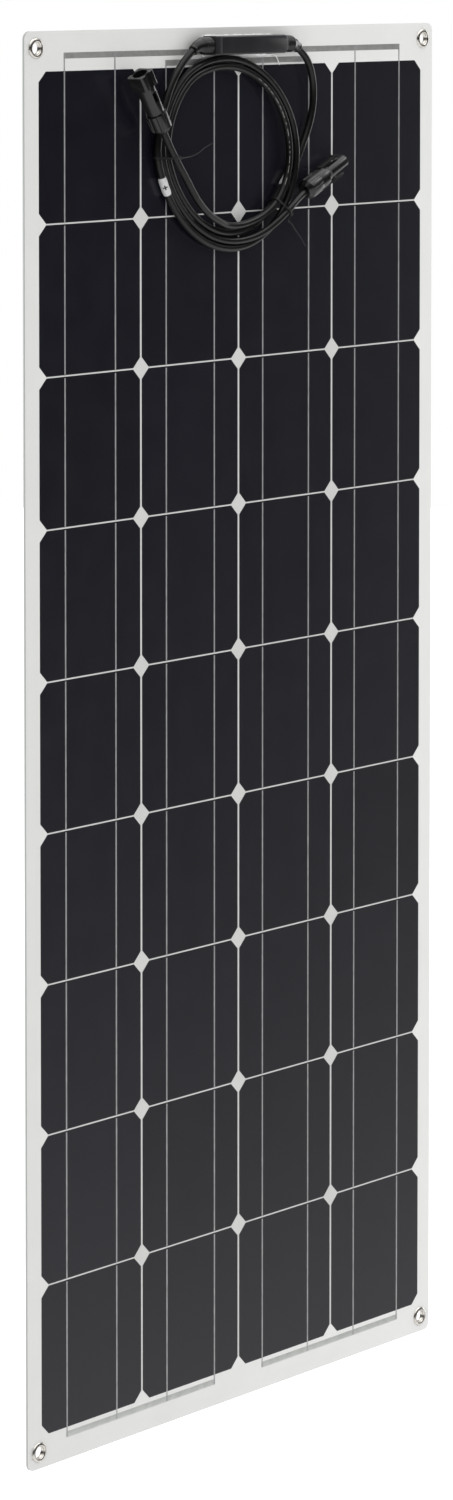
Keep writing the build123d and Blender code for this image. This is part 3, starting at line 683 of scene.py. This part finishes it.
def strip(work, x, levels):
    """A cell ribbon about x, up the sheet, from (height, front y) levels."""
    face = RIBBON_HALF * 0.76          # half its flat face, between the eased edges
    outline = [(-RIBBON_HALF, 0.0001), (-RIBBON_HALF, STRIP_EASE), (-face, 0), (face, 0),
               (RIBBON_HALF, STRIP_EASE), (RIBBON_HALF, 0.0001)]
    skin(work, [[(x + dx, y + dy, z) for dx, dy in outline] for z, y in levels])


def ribbon_levels(z):
    """One cell's ribbon: along its face, then down through the gap and under the next cell."""
    gap = ROW_PITCH / 2
    levels = [(z - gap - 0.0008, FRONT_Y + 0.00012), (z - gap + 0.0004, FRONT_Y - 0.00004),
              (z - CELL_HALF + 0.0012, RIBBON_Y)]
    levels += [(h, RIBBON_Y) for h in spaced(z - CELL_HALF + 0.004, z + CELL_HALF - 0.004, LEVEL_STEP)]
    return levels + [(z + CELL_HALF - 0.0012, RIBBON_Y)]


def add_ribbons(k):
    """The cell ribbons of part k. The end rows' ribbons run on to the bus ribbons."""
    work = bmesh.new()
    for z in rows_of(k):
        for x in RIBBON_X:
            levels = ribbon_levels(z)
            if z == ROW_Z[0]:
                bus_z = BUS_TOP_Z if abs(x) > COLUMN_PITCH else BUS_MIDDLE_Z
                levels += [(z + CELL_HALF + 0.0006, FRONT_Y - 0.00004),
                           (bus_z - BUS_HALF, FRONT_Y - 0.00006),
                           (bus_z + BUS_HALF - 0.0004, FRONT_Y - 0.00012)]
            if z == ROW_Z[-1]:
                levels = [(BUS_BOTTOM_Z - BUS_HALF + 0.0004, FRONT_Y - 0.00012),
                          (BUS_BOTTOM_Z + BUS_HALF, FRONT_Y - 0.00006),
                          (z - CELL_HALF - 0.0006, FRONT_Y - 0.00004)] + levels[2:]
            strip(work, x, levels)
    piece = mesh_piece(f"cell_ribbons_{k + 1}", work, "ribbon")
    bend_over(piece)
    stands_for(k, ("cell_ribbons",))


def bar(work, x0, x1, z0, z1):
    """A flat bus ribbon lying across the sheet, its corners eased."""
    y = FRONT_Y - 0.00006
    ease = 0.0003
    rings = []
    for x, shrink in [(x0, ease)] + [(x, 0) for x in spaced(x0 + ease, x1 - ease, 0.006)] + [(x1, ease)]:
        low, high = z0 + shrink, z1 - shrink
        rings.append([(x, SUNK_Y, low), (x, y + STRIP_EASE, low), (x, y, low + ease),
                      (x, y, high - ease), (x, y + STRIP_EASE, high), (x, SUNK_Y, high)])
    skin(work, rings)


def add_buses():
    """The bus ribbons of the top margin, with their taps to the box, and those of the bottom margin."""
    outer = 1.5 * COLUMN_PITCH + RIBBON_OFFSET + RIBBON_HALF
    inner = 0.5 * COLUMN_PITCH + RIBBON_OFFSET + RIBBON_HALF
    tap = 0.0345           # the upper bus ribbons end here, under the box
    work = bmesh.new()
    for side in (-1, 1):
        ends = sorted((side * outer, side * tap))
        bar(work, *ends, BUS_TOP_Z - BUS_HALF, BUS_TOP_Z + BUS_HALF)
    bar(work, -inner, inner, BUS_MIDDLE_Z - BUS_HALF, BUS_MIDDLE_Z + BUS_HALF)
    bar(work, -BUS_HALF, BUS_HALF, BUS_MIDDLE_Z + BUS_HALF, BUS_TOP_Z + BUS_HALF)
    placed(mesh_piece("top_buses", work, "bus"), "top_panel", "ribbon", "top_bus_ribbons")
    work = bmesh.new()
    nearest = 0.5 * COLUMN_PITCH - RIBBON_OFFSET - RIBBON_HALF
    for side in (-1, 1):
        ends = sorted((side * outer, side * nearest))
        bar(work, *ends, BUS_BOTTOM_Z - BUS_HALF, BUS_BOTTOM_Z + BUS_HALF)
    # The bottom bus ribbons take the lighter copy of the tin, which is painted light.
    placed(mesh_piece("bottom_buses", work, "low_bus"), "bottom_panel", "ribbon", "bottom_bus_ribbons")


for part_index in range(len(HINGES)):
    add_laminate(part_index)
    add_cells(part_index)
    add_ribbons(part_index)
add_buses()


# ---------------------------------------------------------------- eyelets

# Once round each section, as (radius, distance from the sheet's back) in millimetres. The distance counts
# forward for an eyelet and backward for a washer.
EYELET_OUTLINE = [(4.95, -0.7), (5.1, -1.0), (5.5, -1.1), (6.3, -1.05), (6.6, -0.85), (6.5, -0.62),
                  (5.5, -0.6), (5.5, 2.36), (8.3, 2.36), (8.6, 2.42), (8.5, 2.78), (8.05, 3.28),
                  (7.3, 3.66), (6.4, 3.8), (5.7, 3.66), (5.2, 3.25), (4.95, 2.6)]
WASHER_OUTLINE = [(5.6, 0.0), (8.4, 0.0), (8.6, 0.15), (8.6, 0.4), (8.35, 0.6), (5.9, 0.6), (5.6, 0.45)]


def add_eyelets(end, body, z):
    """The two eyelets of one end of the sheet, and their two washers."""
    for kind, outline, forward in (("eyelets", EYELET_OUTLINE, -1), ("eyelet_washers", WASHER_OUTLINE, 1)):
        profile = [(r * MM, h * MM) for r, h in outline]
        work = bmesh.new()
        for side in (-1, 1):
            lathe(work, profile, (side * EYELET_X, 0, z), (0, forward, 0), sides=56)
        piece = mesh_piece(f"{end}_{kind}_turned", work, "metal", sharp=math.radians(50))
        placed(piece, body, "eyelet_metal", f"{end}_{kind}")


add_eyelets("upper", "top_panel", EYELET_Z)
add_eyelets("lower", "bottom_panel", -EYELET_Z)


# ---------------------------------------------------------------- junction box, its bead and boots

BOX_LOW, BOX_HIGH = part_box("junction_box_base")
BOX_Z = (BOX_LOW.z + BOX_HIGH.z) / 2
LEAD_AXIS_Y = -0.0108
BEAD_Y = -0.0028
BEAD_DROP = 0.0007         # how much lower than the box the bead sits
BEAD_STEP = 0.0025
BEAD_WANDER = 0.00035
BOOT_R = 0.00675
BOOT_RIBBED = 0.52         # the share of a boot's length that is ribbed
BOOT_RIB_PITCH = 0.13
BOOT_RIB_DEPTH = 0.00062


def add_box():
    """The box's base and lid, with their edges rounded over."""
    for part, edge in (("junction_box_base", 0.0007), ("junction_box_lid", 0.0009)):
        piece = softened(part, edge, part + "_moulding")
        placed(dress(piece, "box"), "top_panel", "box_plastic", part)


def add_bead():
    """The uneven bead of silicone that squeezed out all round the box."""
    draw = random.Random(4)
    reach_x, reach_z = BOX_HIGH.x + 0.0006, (BOX_HIGH.z - BOX_LOW.z) / 2 + 0.0004
    cut_x, cut_z = reach_x - 0.004, reach_z - 0.004
    corners = [(-reach_x, -reach_z), (cut_x, -reach_z), (reach_x, -cut_z), (reach_x, cut_z),
               (cut_x, reach_z), (-reach_x, reach_z), (-reach_x, -reach_z)]
    line = []
    for (x0, z0), (x1, z1) in zip(corners, corners[1:]):
        count = max(2, int(math.hypot(x1 - x0, z1 - z0) / BEAD_STEP))
        for i in range(count):
            wander = draw.uniform(-BEAD_WANDER, BEAD_WANDER)
            line.append(Vector((x0 + (x1 - x0) * i / count + wander, BEAD_Y,
                                BOX_Z - BEAD_DROP + z0 + (z1 - z0) * i / count + wander)))
    swell = [draw.uniform(0.0007, 0.0011) for _ in line] + [0.0009]
    work = bmesh.new()
    sweep(work, line + [line[0]], lambda share: swell[int(share * (len(line) - 1))], sides=12)
    placed(mesh_piece("silicone_bead", work, "adhesive"), "top_panel", "adhesive", "box_adhesive")


def add_strand():
    """A thin drawn-out thread of silicone that hangs below the bead."""
    spots = [(0.022, -0.0036, BOX_LOW.z - 0.0004), (0.030, -0.0042, BOX_LOW.z + 0.0002),
             (0.036, -0.0048, BOX_LOW.z - 0.0012), (0.043, -0.0046, BOX_LOW.z - 0.0010),
             (0.049, -0.0042, BOX_LOW.z - 0.0042), (0.053, -0.0038, BOX_LOW.z - 0.0105)]
    work = bmesh.new()
    sweep(work, smooth_line(spots, 40), lambda share: 0.00085 - 0.00055 * share, sides=10)
    placed(mesh_piece("silicone_thread", work, "adhesive"), "top_panel", "adhesive")


def boot_radius(share):
    """A ribbed collar that tapers to a rolled lip at the lead."""
    if share < BOOT_RIBBED:
        rib = 0.5 - 0.5 * math.cos(2 * math.pi * share / BOOT_RIB_PITCH)
        return BOOT_R + BOOT_RIB_DEPTH * rib
    taper = (share - BOOT_RIBBED) / (1 - BOOT_RIBBED)
    lip = 0.00045 * math.exp(-((taper - 0.9) / 0.07) ** 2)
    return BOOT_R - 0.0027 * taper**0.8 + lip


def add_boot(name, tip):
    """The rubber boot from the box's end to the point where its lead comes out."""
    side = math.copysign(1, tip[0])
    spots = [(side * 0.0478, LEAD_AXIS_Y, BOX_Z), (side * 0.053, LEAD_AXIS_Y, BOX_Z),
             (side * 0.059, LEAD_AXIS_Y, BOX_Z - 0.0003),
             (tip[0] - side * 0.004, LEAD_AXIS_Y, tip[2] + 0.0019),
             (tip[0] + side * 0.002, LEAD_AXIS_Y, tip[2] - 0.0012)]
    work = bmesh.new()
    sweep(work, smooth_line(spots, 72), boot_radius, sides=40)
    piece = mesh_piece(name + "_ribbed", work, "boot", sharp=math.radians(60))
    return placed(piece, "top_panel", "boot_rubber", name)


add_box()
add_bead()
add_strand()
left_boot = add_boot("left_boot", POSITIVE_START[0])
right_boot = add_boot("right_boot", NEGATIVE_START[0])


# ---------------------------------------------------------------- connectors

def add_moulding(part, edge, body):
    """A connector's part with its edges rounded over, in place of the plain one."""
    piece = dress(softened(part, edge, part + "_moulding"), "connector")
    return placed(piece, body, "connector_plastic", part)


cap_nuts = add_moulding("connector_cap_nuts", 0.0004, "top_panel")
pin_shell = add_moulding("pin_connector_shell", 0.0005, "top_panel")
socket_shell = add_moulding("socket_connector_body", 0.0003, "top_panel")
fingers = [add_moulding("latch_finger_" + place, 0.0003, "latch_" + place) for place in ("upper", "lower")]


# ---------------------------------------------------------------- labels and ties

LABEL_R = 0.00372
LABEL_REACH = 0.0095       # half a label's length
TIE_R = 0.0006
TIE_ROUNDS = 2
TIE_SIDE = Vector((0.13, 0.2, 0.97))     # a direction that no tie's end runs along
TOWARD_VIEW = Vector((-0.7, -0.7, 0))


def nearest(line, place):
    """The index of the line's point nearest to a place."""
    return min(range(len(line)), key=lambda i: (line[i] - Vector(place)).length)


def add_label(name, line, place, plus):
    """A white sleeve round one lead, with a plus or minus sign on the side toward the view."""
    middle = nearest(line, place)
    centre = line[middle]
    covered = [p for p in line[middle - 8:middle + 9] if (p - centre).length < LABEL_REACH]
    work = bmesh.new()
    sweep(work, covered, lambda share: LABEL_R - 0.0004 * (2 * share - 1)**16, sides=40)
    sleeve = mesh_piece(name + "_sleeve", work, "label")
    placed(sleeve, "top_panel", "label", name)
    along = (line[middle + 1] - line[middle - 1]).normalized()
    out = (TOWARD_VIEW - along * TOWARD_VIEW.dot(along)).normalized()
    across = along.cross(out)
    # The sign's bars are drawn in millimetres and bent round the sleeve.
    work = bmesh.new()
    for run, wide in [(across, along)] + ([(along, across)] if plus else []):
        rings = []
        for k in range(-4, 5):
            ring = []
            for lift, half in ((3.5, 0.5), (3.86, 0.5), (3.86, -0.5), (3.5, -0.5)):
                spot = run * (k * 0.55) + wide * half
                turn = spot.dot(across) * MM / LABEL_R
                ring.append(centre + MM * (along * spot.dot(along) + across * lift * math.sin(turn)
                                           + out * lift * math.cos(turn)))
            rings.append(ring)
        skin(work, rings)
    placed(mesh_piece(name + "_sign", work, "tie"), "top_panel", "label")
    return sleeve


def strands_at(middle, across):
    """Where the leads cross a tie's plane, as (distance along across, y) points."""
    normal = across.cross(Vector((0, -1, 0)))
    found = []
    for line in (POSITIVE_LINE, NEGATIVE_LINE):
        for a, b in zip(line, line[1:]):
            before, after = (a - middle).dot(normal), (b - middle).dot(normal)
            spot = a.lerp(b, before / (before - after)) if before * after < 0 else None
            if spot and abs((spot - middle).dot(across)) < 0.02:
                found.append(((spot - middle).dot(across), spot.y))
    return found


def add_tie(name, centre, across, knot_turn, tail):
    """A thin bound wire: twice round the strands, tight on them, knotted, with one loose end."""
    middle, across = Vector(centre), Vector(across).normalized()
    rise = across.cross(Vector((0, -1, 0)))
    strands = strands_at(middle, across)
    steps = 120

    def on_loop(turn, out):
        facing = math.cos(turn), math.sin(turn)
        s, y = max(strands, key=lambda strand: strand[0] * facing[0] + strand[1] * facing[1])
        place = middle + across * (s + out * facing[0])
        return Vector((place.x, y + out * facing[1], place.z))

    loop = []
    for k in range(steps + 1):
        turn = 2 * math.pi * TIE_ROUNDS * k / steps
        loop.append(on_loop(turn, LEAD_DIAMETER / 2 + TIE_R) + rise * MM * (0.7 * (2 * k / steps - 1)))
    work = bmesh.new()
    sweep(work, loop, lambda share: TIE_R, sides=10, side=rise)
    knot = on_loop(knot_turn, LEAD_DIAMETER / 2 + 2 * TIE_R)
    route = smooth_line([tuple(knot)] + tail, 40)
    sweep(work, route, lambda share: 0.00055 - 0.0002 * share, sides=10, side=TIE_SIDE)
    for lean in (Vector((0.8, 0.1, 0.6)), Vector((-0.5, 0.2, 0.85))):
        bow = []
        for k in range(31):
            turn = 2.4 * math.pi * k / 30
            bow.append(knot + MM * (lean * 1.2 * math.sin(turn) + across * 0.9 * math.cos(turn)
                                    + Vector((0, -0.4 + 0.03 * k, 0))))
        sweep(work, bow, lambda share: TIE_R, sides=10, side=TIE_SIDE)
    return placed(mesh_piece(name + "_wire", work, "tie"), "top_panel", "tie_plastic", name)


positive_sleeve = add_label("positive_label", POSITIVE_LINE, (-0.102, -0.007, 0.465), True)
negative_sleeve = add_label("negative_label", NEGATIVE_LINE, (0.057, -0.007, 0.467), False)
side_tie = add_tie("side_tie", (-0.1036, -0.0142, 0.489), (1, 0, 0), math.radians(-40),
                   [(-0.083, -0.0185, 0.4893), (-0.070, -0.0165, 0.4918), (-0.057, -0.014, 0.4965),
                    (-0.044, -0.012, 0.500)])
lower_tie = add_tie("lower_tie", (0.044, -0.0114, 0.441), (0.7, 0, -0.714), math.radians(-30),
                    [(0.056, -0.0115, 0.4290), (0.062, -0.0105, 0.4255), (0.070, -0.009, 0.4185),
                     (0.077, -0.0085, 0.4125), (0.084, -0.008, 0.405)])


# ---------------------------------------------------------------- the leads themselves

def lead(name, line):
    """One lead: a round jacketed cable along its line."""
    work = bmesh.new()
    sweep(work, line, lambda share: LEAD_DIAMETER / 2, sides=24)
    return mesh_piece(name, work, "jacket")


def print_marks(name, line, start, count):
    """A row of small printed dashes along a lead, on the side toward the view."""
    sunk = 0.00015
    draw = random.Random(9)
    work = bmesh.new()
    at = start
    for _ in range(count):
        length = draw.randint(1, 3)
        dash = line[at:at + length + 1]
        ahead = (dash[-1] - dash[0]).normalized()
        out = (TOWARD_VIEW - ahead * TOWARD_VIEW.dot(ahead)).normalized()
        raised = [p + out * (LEAD_DIAMETER / 2 - sunk) for p in dash]
        sweep(work, raised, lambda share: 0.0003, sides=8, side=out)
        at += length + draw.randint(1, 2)
    return mesh_piece(name, work, "print")


positive_cord = placed(lead("positive_cord", POSITIVE_LINE), "top_panel", "lead_jacket", "positive_lead",
                       "positive_tail", "lead_coil")
negative_cord = placed(lead("negative_cord", NEGATIVE_LINE), "top_panel", "lead_jacket", "negative_lead",
                       "negative_tail", "lead_coil")
upper_right = next(i for i in range(len(NEGATIVE_LINE) // 2, len(NEGATIVE_LINE))
                   if NEGATIVE_LINE[i].z > COIL_CENTRE[1] + 0.060 and NEGATIVE_LINE[i].x > 0.008)
marks = print_marks("lead_print", NEGATIVE_LINE, start=upper_right + 4, count=15)
placed(marks, "top_panel", "label")


# ---------------------------------------------------------------- surroundings

FLOOR_Z = SHEET_LOW - 0.3
# What a glossy surface sees at each height of its view: (height of the direction, brightness).
SURROUND = [(-1.0, 1.1), (-0.36, 1.08), (-0.27, 0.52), (-0.2, 0.2), (-0.12, 0.06), (0.0, 0.02), (0.25, 0.10),
            (0.45, 0.5), (0.65, 1.6), (1.0, 2.4)]
BRIGHTEST = 4.0
# A bright panel far to the right, which only glossy surfaces see.
RIM_LIGHT = [("From Min", 0.94), ("From Max", 0.985), ("To Min", 0.0), ("To Max", 3.5)]
SKY_LEAN = Vector((0.2, 0.0, 0.45))    # soft light comes more from above and from the right
SOFTBOX_AIM = Vector((0, 0, 0.5))


def surround_brightness(tree, height):
    """SURROUND as a smooth curve over the height of a direction."""
    level = add_node(tree, "ShaderNodeMath", [(0, height), (1, 0.5), (2, 0.5)], operation="MULTIPLY_ADD")
    curve = add_node(tree, "ShaderNodeFloatCurve", [("Value", level.outputs[0])])
    points = curve.mapping.curves[0].points
    while len(points) < len(SURROUND):
        points.new(0.5, 0.5)
    for point, (at, brightness) in zip(points, SURROUND):
        point.location = (at / 2 + 0.5, brightness / BRIGHTEST)
    curve.mapping.update()
    scaled = add_node(tree, "ShaderNodeMath", [(0, curve.outputs[0]), (1, BRIGHTEST)], operation="MULTIPLY")
    return scaled.outputs[0]


def add_world():
    """White behind the sheet, soft light on it, and a graded studio in its reflections."""
    scene.view_settings.view_transform = "Standard"
    world = bpy.data.worlds.new("studio")
    scene.world = world
    world.use_nodes = True
    tree = world.node_tree
    background = tree.nodes["Background"]
    background.inputs["Color"].default_value = (1, 1, 1, 1)
    toward = add_node(tree, "ShaderNodeTexCoord").outputs["Generated"]
    split = add_node(tree, "ShaderNodeSeparateXYZ", [(0, toward)])
    rim = add_node(tree, "ShaderNodeMapRange", [("Value", split.outputs["X"])] + RIM_LIGHT,
                   interpolation_type="SMOOTHSTEP")
    studio = surround_brightness(tree, split.outputs["Z"])
    mirrored = add_node(tree, "ShaderNodeMath", [(0, studio), (1, rim.outputs[0])], operation="ADD")
    lean = add_node(tree, "ShaderNodeVectorMath", [(0, toward), (1, SKY_LEAN)], operation="DOT_PRODUCT")
    soft = add_node(tree, "ShaderNodeMath", [(0, lean.outputs["Value"]), (1, 1.0)], operation="ADD")
    rays = add_node(tree, "ShaderNodeLightPath")
    chosen = soft.outputs[0]
    for ray, seen in (("Is Glossy Ray", mirrored.outputs[0]), ("Is Camera Ray", 1.0)):
        inputs = [(0, rays.outputs[ray]), (2, chosen), (3, seen)]
        chosen = add_node(tree, "ShaderNodeMix", inputs, data_type="FLOAT").outputs[0]
    tree.links.new(chosen, background.inputs["Strength"])


def add_floor():
    """A wide pale floor, well below the sheet, bright enough to meet the white background."""
    data = bpy.data.meshes.new("floor")
    work = bmesh.new()
    bmesh.ops.create_circle(work, cap_ends=True, segments=64, radius=9.0)
    work.to_mesh(data)
    work.free()
    floor = link("floor", data)
    floor.location = (0, 0, FLOOR_Z)
    pale = Finish("floor_white", Roughness=0.9, Specular_IOR_Level=0.1)
    pale.shader.inputs["Emission Color"].default_value = (1, 1, 1, 1)
    pale.shader.inputs["Emission Strength"].default_value = 0.45
    pale.colour(pale.ramp(pale.noise(3.0), (0.3, (0.86, 0.86, 0.86)), (0.7, (0.9, 0.9, 0.9))))
    data.materials.append(pale.material)
    floor.visible_glossy = False


def add_softbox(name, place, width, height, power):
    """A rectangular area light, aimed at the upper half of the sheet."""
    data = bpy.data.lights.new(name, "AREA")
    data.shape = "RECTANGLE"
    data.size, data.size_y = width, height
    data.energy = power
    light = link(name, data)
    light.location = place
    light.rotation_mode = "QUATERNION"
    light.rotation_quaternion = (SOFTBOX_AIM - Vector(place)).to_track_quat("-Z", "Y")
    return light


add_world()
add_floor()
add_softbox("key_softbox", (1.5, -1.3, 2.1), 0.7, 0.5, 4.5)
fill_light = add_softbox("top_softbox", (-0.9, -1.0, 2.3), 0.9, 0.4, 4)
fill_light.visible_glossy = False
